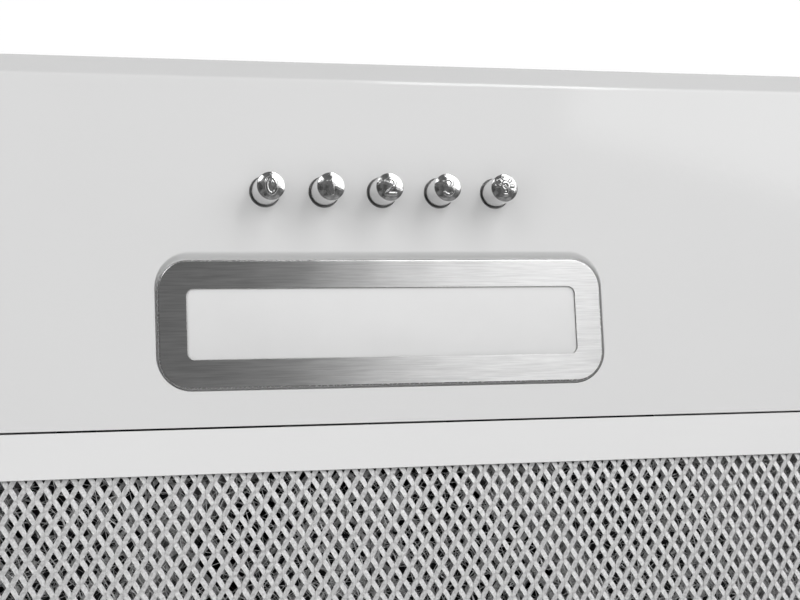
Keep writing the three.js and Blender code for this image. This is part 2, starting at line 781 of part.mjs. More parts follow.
function lampDiffuser() {
  const window = roundedRectangle(0, LAMP_Y, grown(BEZEL_WINDOW, -GAP));
  const lens = prism(window, BEZEL_FACE + 0.5, RECESS_FLOOR);
  const back = { width: 140, depth: 30, radius: 2 };
  return lens.add(prism(roundedRectangle(0, LAMP_Y, back), RECESS_FLOOR, RECESS_FLOOR + 2));
}

function lampHousing() {
  const outer = prism(roundedRectangle(0, LAMP_Y, LAMP_PAN), LAMP_PAN_BOTTOM, LAMP_PAN_TOP);
  const inner = roundedRectangle(0, LAMP_Y, grown(LAMP_PAN, -PAN_WALL));
  return outer.subtract(prism(inner, LAMP_PAN_BOTTOM - CUT, LAMP_PAN_TOP - PAN_WALL));
}

function ledBoard() {
  const bottom = LAMP_PAN_TOP - PAN_WALL - GAP - 1.6;
  const chips = [];
  const pitch = 11;
  for (let i = -5; i <= 5; i += 1) {
    const x = i * pitch;
    chips.push(box(x - 2, x + 2, LAMP_Y - 2, LAMP_Y + 2, bottom - 0.8, bottom + 0.4));
  }
  return union([box(-67, 67, LAMP_Y - 12, LAMP_Y + 12, bottom, bottom + 1.6), ...chips]);
}

// A leaf that grips the end of the lamp housing and bears on the sheet round the cut-out.
function lampClip(side) {
  const x = LAMP_PAN.width / 2 + GAP;
  const foot = RECESS_FLOOR + SHEET + GAP;
  const clip = prismAlongY([
    [x, -112],
    [x, -120.4],
    [x + 5.8, foot],
    [x + 7, foot],
    [x + 7, foot + 0.8],
    [x + 6, foot + 0.8],
    [x + 0.8, -119.8],
    [x + 0.8, -112],
  ], LAMP_Y - 7, LAMP_Y + 7);
  return side > 0 ? clip : clip.mirror([1, 0, 0]);
}

// ---------------------------------------------------------------- grease filter
const LIP = 1;
const MESH_THICKNESS = 0.5;
const CORE_THICKNESS = 0.6;
const HOOK_X = 150;

function filterBox(inset, z0, z1) {
  const half = FILTER_HALF_WIDTH - inset;
  return box(-half, half, FILTER_FRONT + inset, FILTER_REAR - inset, z0, z1);
}

function filterFrame() {
  const cutters = [
    filterBox(RAIL, BOTTOM - CUT, FILTER_TOP + CUT),
    filterBox(LIP, BOTTOM + LIP, FILTER_TOP - LIP),
  ];
  const y = FILTER_FRONT;
  for (const x of [-LATCH_X, LATCH_X]) {
    cutters.push(box(x - 12.4, x + 12.4, y - CUT, y + CUT / 2, BOTTOM + 0.9, BOTTOM + 3.2));
    cutters.push(box(x - 10.4, x + 10.4, y + 2.7, y + 12.9, BOTTOM - CUT, BOTTOM + CUT / 2));
  }
  const hooks = [-HOOK_X, HOOK_X].map(
    (x) => box(x - 20, x + 20, FILTER_REAR - LIP, FILTER_REAR + 7, BOTTOM + 1.3, BOTTOM + 2.8),
  );
  return union([without(filterBox(0, BOTTOM, FILTER_TOP), cutters), ...hooks]);
}

function filterLayer(z0, thickness) {
  return filterBox(RAIL - MESH_LAP, z0, z0 + thickness);
}

// A thumb latch: bolt plate inside the rail, finger grip below it.
function filterLatch(side) {
  const x = side * LATCH_X;
  const plate = box(x - 12, x + 12, FILTER_FRONT - 4.5, FILTER_FRONT + 7.6, BOTTOM + 1.3, BOTTOM + 2.8);
  const grip = box(x - 10, x + 10, FILTER_FRONT + 3.1, FILTER_FRONT + 7.6, BOTTOM - 3, BOTTOM + 2);
  return plate.add(grip);
}

// ---------------------------------------------------------------- assembly
function addCasing() {
  add('top_panel', topPanel(), 'whitePaint');
  add('front_panel', frontPanel(), 'whitePaint');
  add('left_side_panel', sidePanel(-1), 'whitePaint');
  add('right_side_panel', sidePanel(1), 'whitePaint');
  add('back_panel', backPanel(), 'whitePaint');
}

function addDuct() {
  add('duct_collar', ductCollar(), 'blackPlastic');
  add('damper_pin_front', damperPin(-1), 'zinc');
  add('damper_pin_rear', damperPin(1), 'zinc');
  add('damper_flap_front', damperFlap(-1), 'galvanised');
  add('damper_flap_rear', damperFlap(1), 'galvanised');
  COLLAR_SCREWS.forEach(([x, y], i) => {
    add(`collar_screw_${i + 1}`, screw(x, y, GAP + 1.5, 1, 5), 'zinc');
  });
}

function addBlower() {
  add('scroll_housing', scrollHousing(), 'blackPlastic');
  SCROLL_SCREWS.forEach(([x, y], i) => {
    add(`scroll_screw_${i + 1}`, screw(x, y, SCROLL_TOP - SHEET, -1, 2), 'zinc');
  });
  add('inlet_ring', inletRing(), 'galvanised');
  add('inlet_guard', inletGuard(), 'zinc');
  add('impeller_hub', impellerHub(), 'blackPlastic');
  add('impeller_cage', impellerCage(), 'blackPlastic');
  add('motor_shaft', motorShaft(), 'zinc');
  add('motor_body', motorBody(), 'motorPaint');
  add('motor_bracket', motorBracket(), 'galvanised');
  GROMMET_ANGLES.forEach((angle, i) => {
    add(`motor_grommet_${i + 1}`, motorGrommet(angle), 'rubber');
  });
}

function addWiring() {
  add('capacitor', capacitor(), 'whitePlastic');
  add('capacitor_clip', capacitorClip(), 'zinc');
  add('junction_box', junctionBox(), 'greyPlastic');
  add('junction_box_cover', junctionBoxCover(), 'greyPlastic');
  add('terminal_block', terminalBlock(), 'whitePlastic');
  add('cable_gland', cableGland(), 'blackPlastic');
  add('motor_lead', motorLead(), 'greyPlastic');
  add('control_lead', controlLead(), 'greyPlastic');
  add('lamp_lead', lampLead(), 'greyPlastic');
}

function addControls() {
  add('switch_bracket', switchBracket(), 'zinc');
  add('switch_block', switchBlock(), 'blackPlastic');
  add('switch_nut_left', switchNut(-STUD_X), 'zinc');
  add('switch_nut_right', switchNut(STUD_X), 'zinc');
  const names = ['button_0', 'button_1', 'button_2', 'button_3', 'button_light'];
  buttonPlaces().forEach((x, i) => {
    add(names[i], button(x), 'chrome');
  });
}

function addLamp() {
  add('lamp_bezel', lampBezel(), 'brushedSteel');
  add('lamp_diffuser', lampDiffuser(), 'frosted');
  add('lamp_housing', lampHousing(), 'whitePlastic');
  add('led_board', ledBoard(), 'circuitBoard');
  add('lamp_clip_left', lampClip(-1), 'zinc');
  add('lamp_clip_right', lampClip(1), 'zinc');
}

function addFilter() {
  const play = 0.4;
  const meshBottom = BOTTOM + LIP + play;
  const coreBottom = BOTTOM + FILTER_THICKNESS / 2 - 2 * play;
  const backBottom = FILTER_TOP - LIP - play - MESH_THICKNESS;
  add('filter_frame', filterFrame(), 'whitePaint');
  add('filter_front_mesh', filterLayer(meshBottom, MESH_THICKNESS), 'aluminium');
  add('filter_core', filterLayer(coreBottom, CORE_THICKNESS), 'aluminium');
  add('filter_back_mesh', filterLayer(backBottom, MESH_THICKNESS), 'aluminium');
  add('filter_latch_left', filterLatch(-1), 'whitePlastic');
  add('filter_latch_right', filterLatch(1), 'whitePlastic');
}

addCasing();
addDuct();
addBlower();
addWiring();
addControls();
addLamp();
addFilter();

export default group;
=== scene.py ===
"""The looks of an under cabinet range hood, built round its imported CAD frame. Metres, +Z up."""

import json
import math

import bpy
import bmesh
import numpy as np
from mathutils import Matrix, Vector


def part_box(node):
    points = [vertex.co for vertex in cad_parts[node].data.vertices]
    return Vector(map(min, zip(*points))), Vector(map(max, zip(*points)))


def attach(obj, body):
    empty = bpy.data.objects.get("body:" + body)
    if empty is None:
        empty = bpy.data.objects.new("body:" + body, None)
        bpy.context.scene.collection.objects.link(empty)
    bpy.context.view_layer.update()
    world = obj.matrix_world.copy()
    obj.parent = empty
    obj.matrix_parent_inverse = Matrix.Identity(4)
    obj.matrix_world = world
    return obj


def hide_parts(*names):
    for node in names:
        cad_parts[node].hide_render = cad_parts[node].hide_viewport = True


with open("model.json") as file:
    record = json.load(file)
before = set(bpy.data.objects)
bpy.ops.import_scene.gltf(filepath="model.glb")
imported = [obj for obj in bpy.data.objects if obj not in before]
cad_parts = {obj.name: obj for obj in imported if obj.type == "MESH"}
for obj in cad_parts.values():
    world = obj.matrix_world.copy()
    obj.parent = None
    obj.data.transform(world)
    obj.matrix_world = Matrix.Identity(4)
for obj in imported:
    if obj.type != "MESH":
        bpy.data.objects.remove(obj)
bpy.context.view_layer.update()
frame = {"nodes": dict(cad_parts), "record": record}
MM = 0.001


def low(node):
    return Vector(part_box(node)[0])


def high(node):
    return Vector(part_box(node)[1])


def middle(node):
    return (low(node) + high(node)) / 2


# ---------------------------------------------------------------- places, from the frame
PANEL_LOW = low("front_panel")
PANEL_HIGH = high("front_panel")
UNDERSIDE = PANEL_LOW.z
BEZEL_LOW = low("lamp_bezel")
BEZEL_HIGH = high("lamp_bezel")
LAMP_CENTRE = middle("lamp_bezel")
BUTTONS = ("button_0", "button_1", "button_2", "button_3", "button_light")
FILTER_LOW = low("filter_front_mesh")
FILTER_HIGH = high("filter_front_mesh")

# ---------------------------------------------------------------- sizes that Blender adds
# Sheet of the front panel: its bends, its rear edge and its holes.
SHEET = 1.0 * MM
CHAMFER = 8.34 * MM
BEND_RADIUS = 2.2 * MM
BEND_ANGLE = 45
FLAT_STRIP = 0.8 * MM
TOP_STRIP = 5 * MM
HEM = 0.35 * MM
BUTTON_HOLE_RADIUS = 5.25 * MM

# Lamp. A round-cornered outline is (width, depth, corner radius).
RECESS_DEPTH = 1.5 * MM
RECESS_SHIFT = 1.1 * MM
RECESS_OUTER = (154.6 * MM, 45.8 * MM, 11.8 * MM)
RECESS_INNER = (153.5 * MM, 42.7 * MM, 10.4 * MM)
LAMP_CUTOUT = (144.0 * MM, 34.0 * MM, 3.0 * MM)
BEZEL_RADIUS = 10.2 * MM
BEZEL_ROLL = 0.7 * MM
BEZEL_LIP = 0.12 * MM
WINDOW = (134.1 * MM, 23.2 * MM, 2.5 * MM)
LENS_PLATE = (140.0 * MM, 30.0 * MM, 2.0 * MM)
LENS_EDGE = 0.1 * MM
LENS_GAP = 0.02 * MM

# Buttons. The figure's strokes are drawn in millimetres.
BUTTON_RADIUS = 4.7 * MM
BUTTON_REACH = 10.6 * MM
BUTTON_EDGE = 0.12 * MM
STEM_RADIUS = 2.2 * MM
FLANGE_RADIUS = 6.2 * MM
FLANGE_THICKNESS = 1.5 * MM
RELIEF = 0.32 * MM
HALF_STROKE = 0.24
STROKE_SLOPE = 0.36

# Expanded metal: pitch of the holes, the holes themselves, and the strands between them. A hole's half width
# is a share of its greatest one at places from its front tip to its rear tip. The first row is measured from
# the lamp's centre.
FINE_MESH = {"x": 5.37 * MM, "y": 7.6 * MM, "hole_width": 3.1 * MM, "hole_length": 4.3 * MM,
             "step": 7.6 / 6 * MM, "thick": 0.4 * MM, "twist": 0.36 * MM, "shift": -0.46 * MM}
COARSE_MESH = {"x": 10.0 * MM, "y": 15.0 * MM, "hole_width": 8.8 * MM, "hole_length": 11.0 * MM,
               "step": 2.5 * MM, "thick": 0.4 * MM, "twist": -0.4 * MM, "shift": 0.0}
HOLE_PLACES = (-1.0, -0.6, -0.2, 0.1, 0.6, 1.0)
HOLE_OPENING = (0.0, 0.5, 0.97, 1.0, 0.4, 0.0)
FIRST_ROW = 24.1 * MM
MIDDLE_COLUMNS = 33

# Crinkled foil: each layer's angle in degrees, height above the core's underside, and depth.
FOIL_LAYERS = ((28, -0.6 * MM, 1.2 * MM), (-52, 1.2 * MM, 1.2 * MM), (76, 2.2 * MM, 0.8 * MM))
FOIL_ACROSS = 1.95 * MM
FOIL_ALONG = 7.0 * MM
FOIL_REACH = 300 * MM
FOIL_SWING = 0.8 * MM
FOIL_SWING_ERROR = 0.7 * MM
FOIL_ALONG_ERROR = 0.6 * MM
FOIL_MARGIN = 1 * MM
FOIL_BREADTH = (0.14 * MM, 0.32 * MM)
FOIL_THICKNESS = 0.04 * MM
FOIL_SHORTEST = 4
FOIL_SEED = 11

# Small values for finishing meshes.
SMALLEST_RADIUS = 0.05 * MM
FLATNESS = 0.02 * MM
SHARP_ANGLE = math.radians(50)
SHEET_EDGE = 0.25 * MM
CAD_EDGE = 0.2 * MM
WELD_DISTANCE = 0.01 * MM

# Noise lies mostly between these two values.
NOISE_LOW = 0.3
NOISE_HIGH = 0.7


# ---------------------------------------------------------------- camera
def make_camera():
    """A long lens below the hood, to the left of the lamp and behind it, looking up."""
    offset = Vector((-152.93, 61.63, -557.34)) * MM
    ahead = Vector((0.27038, -0.11835, 0.95545))
    up = Vector((0.00838, -0.99209, -0.12526))
    right = ahead.cross(up)
    data = bpy.data.cameras.new("camera")
    data.lens = 78.46
    data.sensor_width = 36.0
    data.clip_start = 0.01
    camera = bpy.data.objects.new("camera", data)
    bpy.context.scene.collection.objects.link(camera)
    place = Vector((LAMP_CENTRE.x, LAMP_CENTRE.y, UNDERSIDE)) + offset
    turn = Matrix((right, up, -ahead)).transposed()
    camera.matrix_world = Matrix.Translation(place) @ turn.to_4x4()
    bpy.context.scene.camera = camera


# ---------------------------------------------------------------- mesh helpers
def make_piece(name, verts, faces, material, body, hides):
    """A smooth piece from points and faces."""
    mesh = bpy.data.meshes.new(name)
    mesh.from_pydata(verts, [], faces)
    mesh.update()
    return make_object(name, mesh, material, body, hides)


def make_object(name, mesh, material, body, hides, smooth=True):
    """Puts a mesh in the scene as a piece that rides on a body and stands for CAD nodes."""
    mesh.polygons.foreach_set("use_smooth", [smooth] * len(mesh.polygons))
    mesh.materials.append(material)
    piece = bpy.data.objects.new(name, mesh)
    bpy.context.scene.collection.objects.link(piece)
    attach(piece, body)
    if hides:
        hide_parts(*hides)
    return piece


def rounded_loop(centre, size, z):
    """Points round a rectangle with round corners, anticlockwise seen from above."""
    corner_steps = 12
    width, depth, radius = size
    points = []
    for quarter, (sx, sy) in enumerate(((1, -1), (1, 1), (-1, 1), (-1, -1))):
        cx = centre.x + sx * (width / 2 - radius)
        cy = centre.y + sy * (depth / 2 - radius)
        for step in range(corner_steps + 1):
            angle = math.radians(-90 + 90 * quarter + 90 * step / corner_steps)
            points.append((cx + radius * math.cos(angle), cy + radius * math.sin(angle), z))
    return points


def resized(size, amount):
    """The same outline, moved outwards by an amount."""
    width, depth, radius = size
    return width + 2 * amount, depth + 2 * amount, max(radius + amount, SMALLEST_RADIUS)


def blended(size_a, size_b, share):
    """An outline between two others."""
    return tuple(a + (b - a) * share for a, b in zip(size_a, size_b))


class Shell:
    """Collects loops of points and the quads between them."""

    def __init__(self):
        self.verts = []
        self.faces = []

    def loop(self, points):
        first = len(self.verts)
        self.verts.extend(points)
        return range(first, len(self.verts))

    def bridge(self, a, b):
        count = len(a)
        for i in range(count):
            j = (i + 1) % count
            self.faces.append((a[i], a[j], b[j], b[i]))

    def chain(self, loops):
        for a, b in zip(loops, loops[1:]):
            self.bridge(a, b)


def turn_outwards(piece):
    """Makes all faces of a closed piece point out."""
    bm = bmesh.new()
    bm.from_mesh(piece.data)
    bmesh.ops.recalc_face_normals(bm, faces=bm.faces)
    bm.to_mesh(piece.data)
    bm.free()


def add_weighted_normals(piece):
    """Keeps large flat faces flat in the shading of the rounded edges beside them."""
    normals = piece.modifiers.new("normals", "WEIGHTED_NORMAL")
    normals.keep_sharp = False


def add_bevel(piece, width, angle=40):
    bevel = piece.modifiers.new("bevel", "BEVEL")
    bevel.width = width
    bevel.segments = 2
    bevel.limit_method = "ANGLE"
    bevel.angle_limit = math.radians(angle)
    add_weighted_normals(piece)


# ---------------------------------------------------------------- material helpers
def new_material(name, **sockets):
    """A material and its shader. A socket's name is written with _ for a space, here and in add_node."""
    material = bpy.data.materials.new(name)
    material.use_nodes = True
    shader = material.node_tree.nodes["Principled BSDF"]
    for socket, value in sockets.items():
        shader.inputs[socket.replace("_", " ")].default_value = value
    return material, shader


def grey(value):
    return value, value, value, 1.0


def add_node(owner, kind, **inputs):
    """Adds a node to a material or a world."""
    node = owner.node_tree.nodes.new(kind)
    for socket, value in inputs.items():
        node.inputs[socket.replace("_", " ")].default_value = value
    return node


def link(owner, source, target):
    owner.node_tree.links.new(source, target)


def object_noise(material, scale, detail=2.0, stretch=(1, 1, 1)):
    """Noise in the object's own space; a scale of 1000 has features of about 1 mm."""
    coordinates = add_node(material, "ShaderNodeTexCoord")
    mapping = add_node(material, "ShaderNodeMapping", Scale=stretch)
    noise = add_node(material, "ShaderNodeTexNoise", Scale=scale, Detail=detail)
    link(material, coordinates.outputs["Object"], mapping.inputs["Vector"])
    link(material, mapping.outputs["Vector"], noise.inputs["Vector"])
    return noise.outputs["Fac"]


def spread(material, noise, low_value, high_value):
    """Maps noise to a range of values."""
    node = add_node(material, "ShaderNodeMapRange", From_Min=NOISE_LOW, From_Max=NOISE_HIGH,
                    To_Min=low_value, To_Max=high_value)
    link(material, noise, node.inputs["Value"])
    return node.outputs["Result"]


def tint(material, noise, dark, bright):
    """A colour between two, by noise."""
    ramp = add_node(material, "ShaderNodeValToRGB")
    first, last = ramp.color_ramp.elements
    first.position = NOISE_LOW
    first.color = dark
    last.position = NOISE_HIGH
    last.color = bright
    link(material, noise, ramp.inputs["Fac"])
    return ramp.outputs["Color"]


def add_bump(material, shader, height, strength, distance):
    bump = add_node(material, "ShaderNodeBump", Strength=strength, Distance=distance)
    link(material, height, bump.inputs["Height"])
    link(material, bump.outputs["Normal"], shader.inputs["Normal"])


# ---------------------------------------------------------------- materials
def paint_material(name, level):
    """Glossy white powder coat with fine orange peel and faint clouds."""
    material, shader = new_material(name, Roughness=0.08, Specular_IOR_Level=0.5)
    peel = object_noise(material, scale=450)
    clouds = object_noise(material, scale=14)
    cloud_level = 0.985 * level
    link(material, tint(material, clouds, grey(cloud_level), grey(level)), shader.inputs["Base Color"])
    add_bump(material, shader, peel, strength=0.16, distance=0.12 * MM)
    return material


def chrome_material():
    """Chrome plating: bright, a little wavy, with uneven wear."""
    material, shader = new_material("chrome", Metallic=1.0, Base_Color=grey(0.80))
    wear = object_noise(material, scale=450, detail=3.0)
    waves = object_noise(material, scale=1100)
    link(material, spread(material, wear, 0.08, 0.18), shader.inputs["Roughness"])
    add_bump(material, shader, waves, strength=0.25, distance=0.25 * MM)
    return material


def brushed_material():
    """Stainless steel brushed along X: long fine scratches in the bump, broader ones in the sheen."""
    material, shader = new_material("brushed_steel", Metallic=1.0, Anisotropic=1.0, Anisotropic_Rotation=0.25)
    scratches = object_noise(material, scale=9000, stretch=(0.006, 1, 1))
    streaks = object_noise(material, scale=2300, detail=4.0, stretch=(0.04, 1, 1))
    link(material, tint(material, streaks, grey(0.70), grey(0.89)), shader.inputs["Base Color"])
    link(material, spread(material, streaks, 0.30, 0.42), shader.inputs["Roughness"])
    add_bump(material, shader, scratches, strength=0.25, distance=0.04 * MM)
    tangent = add_node(material, "ShaderNodeTangent")
    tangent.direction_type = "UV_MAP"
    tangent.uv_map = "brushing"
    link(material, tangent.outputs["Tangent"], shader.inputs["Tangent"])
    return material


def polished_material():
    """The rolled edges of the bezel, smoother than its face."""
    material, shader = new_material("polished_steel", Metallic=1.0, Base_Color=grey(0.72))
    wear = object_noise(material, scale=1500)
    link(material, spread(material, wear, 0.22, 0.3), shader.inputs["Roughness"])
    return material


def diffuser_material():
    """Frosted plastic of the lens, with a fine matt grain."""
    material, shader = new_material("frosted_plastic", Subsurface_Weight=0.15, Subsurface_Scale=0.002)
    shader.inputs["Subsurface Radius"].default_value = (1.0, 1.0, 1.0)
    clouds = object_noise(material, scale=60)
    grain = object_noise(material, scale=5000, detail=1.0)
    link(material, tint(material, clouds, grey(0.70), grey(0.72)), shader.inputs["Base Color"])
    link(material, spread(material, clouds, 0.42, 0.5), shader.inputs["Roughness"])
    add_bump(material, shader, grain, strength=0.08, distance=0.03 * MM)
    return material


def metal_material(name, greys, roughness, scale, bump=0.1, metallic=1.0):
    """Bare or plated metal with mottled grey and roughness, and a grain four times finer."""
    material, shader = new_material(name, Metallic=metallic)
    mottle = object_noise(material, scale, detail=3.0)
    grain = object_noise(material, 4 * scale)
    link(material, tint(material, mottle, grey(greys[0]), grey(greys[1])), shader.inputs["Base Color"])
    link(material, spread(material, mottle, *roughness), shader.inputs["Roughness"])
    add_bump(material, shader, grain, strength=bump, distance=0.1 * MM)
    return material


def galvanised_material():
    """Zinc spangle: cells of slightly different grey."""
    material, shader = new_material("galvanised", Metallic=1.0)
    coordinates = add_node(material, "ShaderNodeTexCoord")
    cells = add_node(material, "ShaderNodeTexVoronoi", Scale=110.0)
    link(material, coordinates.outputs["Object"], cells.inputs["Vector"])
    separate = add_node(material, "ShaderNodeSeparateColor")
    link(material, cells.outputs["Color"], separate.inputs["Color"])
    spangle = tint(material, separate.outputs["Red"], grey(0.50), grey(0.64))
    link(material, spangle, shader.inputs["Base Color"])
    link(material, spread(material, separate.outputs["Green"], 0.35, 0.5), shader.inputs["Roughness"])
    return material


def plastic_material(name, colour, roughness=0.45, scale=1800):
    """Moulded plastic, rubber or enamel: darker clouds and a fine grain."""
    material, shader = new_material(name, Roughness=roughness)
    bright = (*colour, 1.0)
    dark = (*(0.9 * channel for channel in colour), 1.0)
    clouds = object_noise(material, scale=40, detail=3.0)
    grain = object_noise(material, scale)
    link(material, tint(material, clouds, dark, bright), shader.inputs["Base Color"])
    add_bump(material, shader, grain, strength=0.15, distance=0.1 * MM)
    return material


def make_materials():
    """One material for each slot of the record."""
    return {
        "white_paint": paint_material("white_paint", 0.705),
        "filter_paint": paint_material("filter_paint", 0.77),
        "galvanised_steel": galvanised_material(),
        "zinc_steel": metal_material("zinc", (0.6, 0.72), (0.22, 0.36), scale=300),
        "chrome_button": chrome_material(),
        "brushed_bezel": brushed_material(),
        "filter_aluminium": metal_material("aluminium", (0.64, 0.92), (0.30, 0.42), scale=1100,
                                           bump=0.35, metallic=0.45),
        "diffuser": diffuser_material(),
        "black_plastic": plastic_material("black_plastic", (0.022, 0.022, 0.024)),
        "grey_plastic": plastic_material("grey_plastic", (0.33, 0.34, 0.35)),
        "white_plastic": plastic_material("white_plastic", (0.74, 0.74, 0.72), roughness=0.35),
        "rubber_mount": plastic_material("rubber", (0.02, 0.02, 0.02), roughness=0.8, scale=900),
        "lead_sheath": plastic_material("lead_sheath", (0.4, 0.4, 0.39), roughness=0.6, scale=900),
        "circuit_board": plastic_material("circuit_board", (0.82, 0.82, 0.78), roughness=0.3),
        "motor_paint": plastic_material("motor_enamel", (0.03, 0.032, 0.035), roughness=0.3, scale=1200),
    }


MATERIALS = make_materials()
FOIL = metal_material("foil", (0.8, 0.95), (0.25, 0.4), scale=400, bump=0.3, metallic=0.4)
POLISHED = polished_material()


# ---------------------------------------------------------------- front panel
def bend(centre, start_angle):
    """Points of one bend of the sheet, seen from the side."""
    steps = 6
    points = []
    for i in range(steps + 1):
        angle = math.radians(start_angle + BEND_ANGLE * i / steps)
        points.append((centre[0] + BEND_RADIUS * math.cos(angle), centre[1] + BEND_RADIUS * math.sin(angle)))
    return points


def front_section():
    """Points (y, z) of the outer face: fascia, bend, chamfer, bend, start of the underside."""
    front = PANEL_LOW.y
    top = PANEL_HIGH.z
    reach = BEND_RADIUS * math.tan(math.radians(BEND_ANGLE / 2))
    diagonal = reach * math.sqrt(0.5)
    points = [(front, top), (front, top - TOP_STRIP), (front, UNDERSIDE + CHAMFER + reach + FLAT_STRIP)]
    points += bend((front + BEND_RADIUS, UNDERSIDE + CHAMFER + reach), 180)
    points.append((front + diagonal + FLAT_STRIP, UNDERSIDE + CHAMFER - diagonal - FLAT_STRIP))
    points.append((front + CHAMFER - diagonal - FLAT_STRIP, UNDERSIDE + diagonal + FLAT_STRIP))
    points += bend((front + CHAMFER + reach, UNDERSIDE + BEND_RADIUS), 180 + BEND_ANGLE)
    points.append((front + CHAMFER + reach + FLAT_STRIP, UNDERSIDE))
    return points


def recess_loops(shell):
    """The pressed dish round the lamp, from the flat outside it down to the cut-out."""
    steps = 10
    forward = Vector((0, -RECESS_SHIFT, 0))
    rim = resized(RECESS_OUTER, FLAT_STRIP)
    loops = [shell.loop(rounded_loop(LAMP_CENTRE + forward, rim, UNDERSIDE))]
    for i in range(steps + 1):
        share = i / steps
        rise = RECESS_DEPTH * (1 - math.cos(math.pi * share)) / 2
        size = blended(RECESS_OUTER, RECESS_INNER, share)
        loops.append(shell.loop(rounded_loop(LAMP_CENTRE + forward * (1 - share), size, UNDERSIDE + rise)))
    floor = UNDERSIDE + RECESS_DEPTH
    loops.append(shell.loop(rounded_loop(LAMP_CENTRE, resized(RECESS_INNER, -FLAT_STRIP), floor)))
    loops.append(shell.loop(rounded_loop(LAMP_CENTRE, LAMP_CUTOUT, floor)))
    shell.chain(loops)
    return loops[0]


def circle(centre, radius, z, count):
    """Points round a circle, anticlockwise seen from above."""
    turns = [2 * math.pi * i / count for i in range(count)]
    return [(centre.x + radius * math.cos(a), centre.y + radius * math.sin(a), z) for a in turns]


def hole_loops(shell, centre):
    """The edge of a button hole, inside a narrow flat ring that keeps the sheet's shading flat."""
    sides = 48
    inner = shell.loop(circle(centre, BUTTON_HOLE_RADIUS, UNDERSIDE, sides))
    outer = shell.loop(circle(centre, BUTTON_HOLE_RADIUS + FLAT_STRIP, UNDERSIDE, sides))
    shell.bridge(inner, outer)
    return outer


def fill_flat(bm, verts, outlines):
    """Fills the flat area between closed outlines."""
    edges = []
    for outline in outlines:
        for a, b in zip(outline, outline[1:] + outline[:1]):
            edge = bm.edges.get((verts[a], verts[b]))
            edges.append(edge or bm.edges.new((verts[a], verts[b])))
    bmesh.ops.triangle_fill(bm, use_beauty=True, edges=edges, normal=(0, 0, -1))


def panel_shell():
    """The bent strips of the sheet, and the outlines of its flat underside and the holes in it."""
    shell = Shell()
    lines = [shell.loop([(PANEL_LOW.x, y, z), (PANEL_HIGH.x, y, z)]) for y, z in front_section()]
    for a, b in zip(lines, lines[1:]):
        shell.faces.append((a[0], b[0], b[1], a[1]))
    rear = shell.loop([(x, PANEL_HIGH.y + HEM, UNDERSIDE) for x in (PANEL_LOW.x, PANEL_HIGH.x)])
    outlines = [[lines[-1][0], rear[0], rear[1], lines[-1][1]], list(recess_loops(shell))]
    outlines += [list(hole_loops(shell, middle(name))) for name in BUTTONS]
    return shell, outlines


def panel_mesh(name):
    """The outer face of the sheet, with its faces pointing down and to the front."""
    shell, outlines = panel_shell()
    bm = bmesh.new()
    verts = [bm.verts.new(v) for v in shell.verts]
    for face in shell.faces:
        bm.faces.new([verts[i] for i in face])
    fill_flat(bm, verts, outlines)
    bmesh.ops.recalc_face_normals(bm, faces=bm.faces)
    if sum(face.normal.z * face.calc_area() for face in bm.faces) > 0:
        bmesh.ops.reverse_faces(bm, faces=bm.faces)
    mesh = bpy.data.meshes.new(name)
    bm.to_mesh(mesh)
    bm.free()
    return mesh


def make_front_panel():
    """The front panel as one bent sheet with its holes and the pressed recess."""
    name = "front_panel_sheet"
    piece = make_object(name, panel_mesh(name), MATERIALS["white_paint"], "housing",
                        ["front_panel"])
    thickness = piece.modifiers.new("sheet", "SOLIDIFY")
    thickness.thickness = SHEET
    thickness.offset = -1
    add_bevel(piece, SHEET_EDGE, angle=50)


# ---------------------------------------------------------------- lamp
def make_bezel():
    """A stamped frame: rolled outer edge, brushed face, small radius at the window."""
    face = BEZEL_LOW.z
    back = BEZEL_HIGH.z
    outline = (BEZEL_HIGH.x - BEZEL_LOW.x, BEZEL_HIGH.y - BEZEL_LOW.y, BEZEL_RADIUS)
    steps = 8
    shell = Shell()
    loops = [shell.loop(rounded_loop(LAMP_CENTRE, outline, back))]
    for i in range(steps + 1):
        angle = math.radians(90 * i / steps)
        size = resized(outline, -BEZEL_ROLL * (1 - math.cos(angle)))
        z = face + BEZEL_ROLL * (1 - math.sin(angle))
        loops.append(shell.loop(rounded_loop(LAMP_CENTRE, size, z)))
    for i in range(steps + 1):
        angle = math.radians(90 * i / steps)
        size = resized(WINDOW, BEZEL_LIP * (1 - math.sin(angle)))
        z = face + BEZEL_LIP * (1 - math.cos(angle))
        loops.append(shell.loop(rounded_loop(LAMP_CENTRE, size, z)))
    loops.append(shell.loop(rounded_loop(LAMP_CENTRE, WINDOW, back)))
    shell.chain(loops)
    shell.bridge(loops[-1], loops[0])
    piece = make_piece("lamp_bezel_frame", shell.verts, shell.faces, MATERIALS["brushed_bezel"],
                       "housing", ["lamp_bezel"])
    piece.data.materials.append(POLISHED)
    turn_outwards(piece)
    paint_bezel(piece, face)
    add_weighted_normals(piece)


def make_lens():
    """The frosted lens, flush in the window of the bezel, and the plate behind it."""
    face = low("lamp_diffuser").z
    back = high("lamp_diffuser").z
    floor = UNDERSIDE + RECESS_DEPTH
    window = resized(WINDOW, -LENS_GAP)
    levels = [
        (resized(window, -LENS_EDGE), face),
        (resized(window, -LENS_EDGE / 3), face + LENS_EDGE / 3),
        (window, face + LENS_EDGE),
        (window, floor),
        (LENS_PLATE, floor),
        (LENS_PLATE, back),
    ]
    shell = Shell()
    loops = [shell.loop(rounded_loop(LAMP_CENTRE, size, z)) for size, z in levels]
    shell.chain(loops)
    shell.faces.append(tuple(loops[0]))
    shell.faces.append(tuple(loops[-1]))
    lens = make_piece("lamp_lens", shell.verts, shell.faces, MATERIALS["diffuser"],
                      "housing", ["lamp_diffuser"])
    turn_outwards(lens)
    lens.data.set_sharp_from_angle(angle=SHARP_ANGLE)


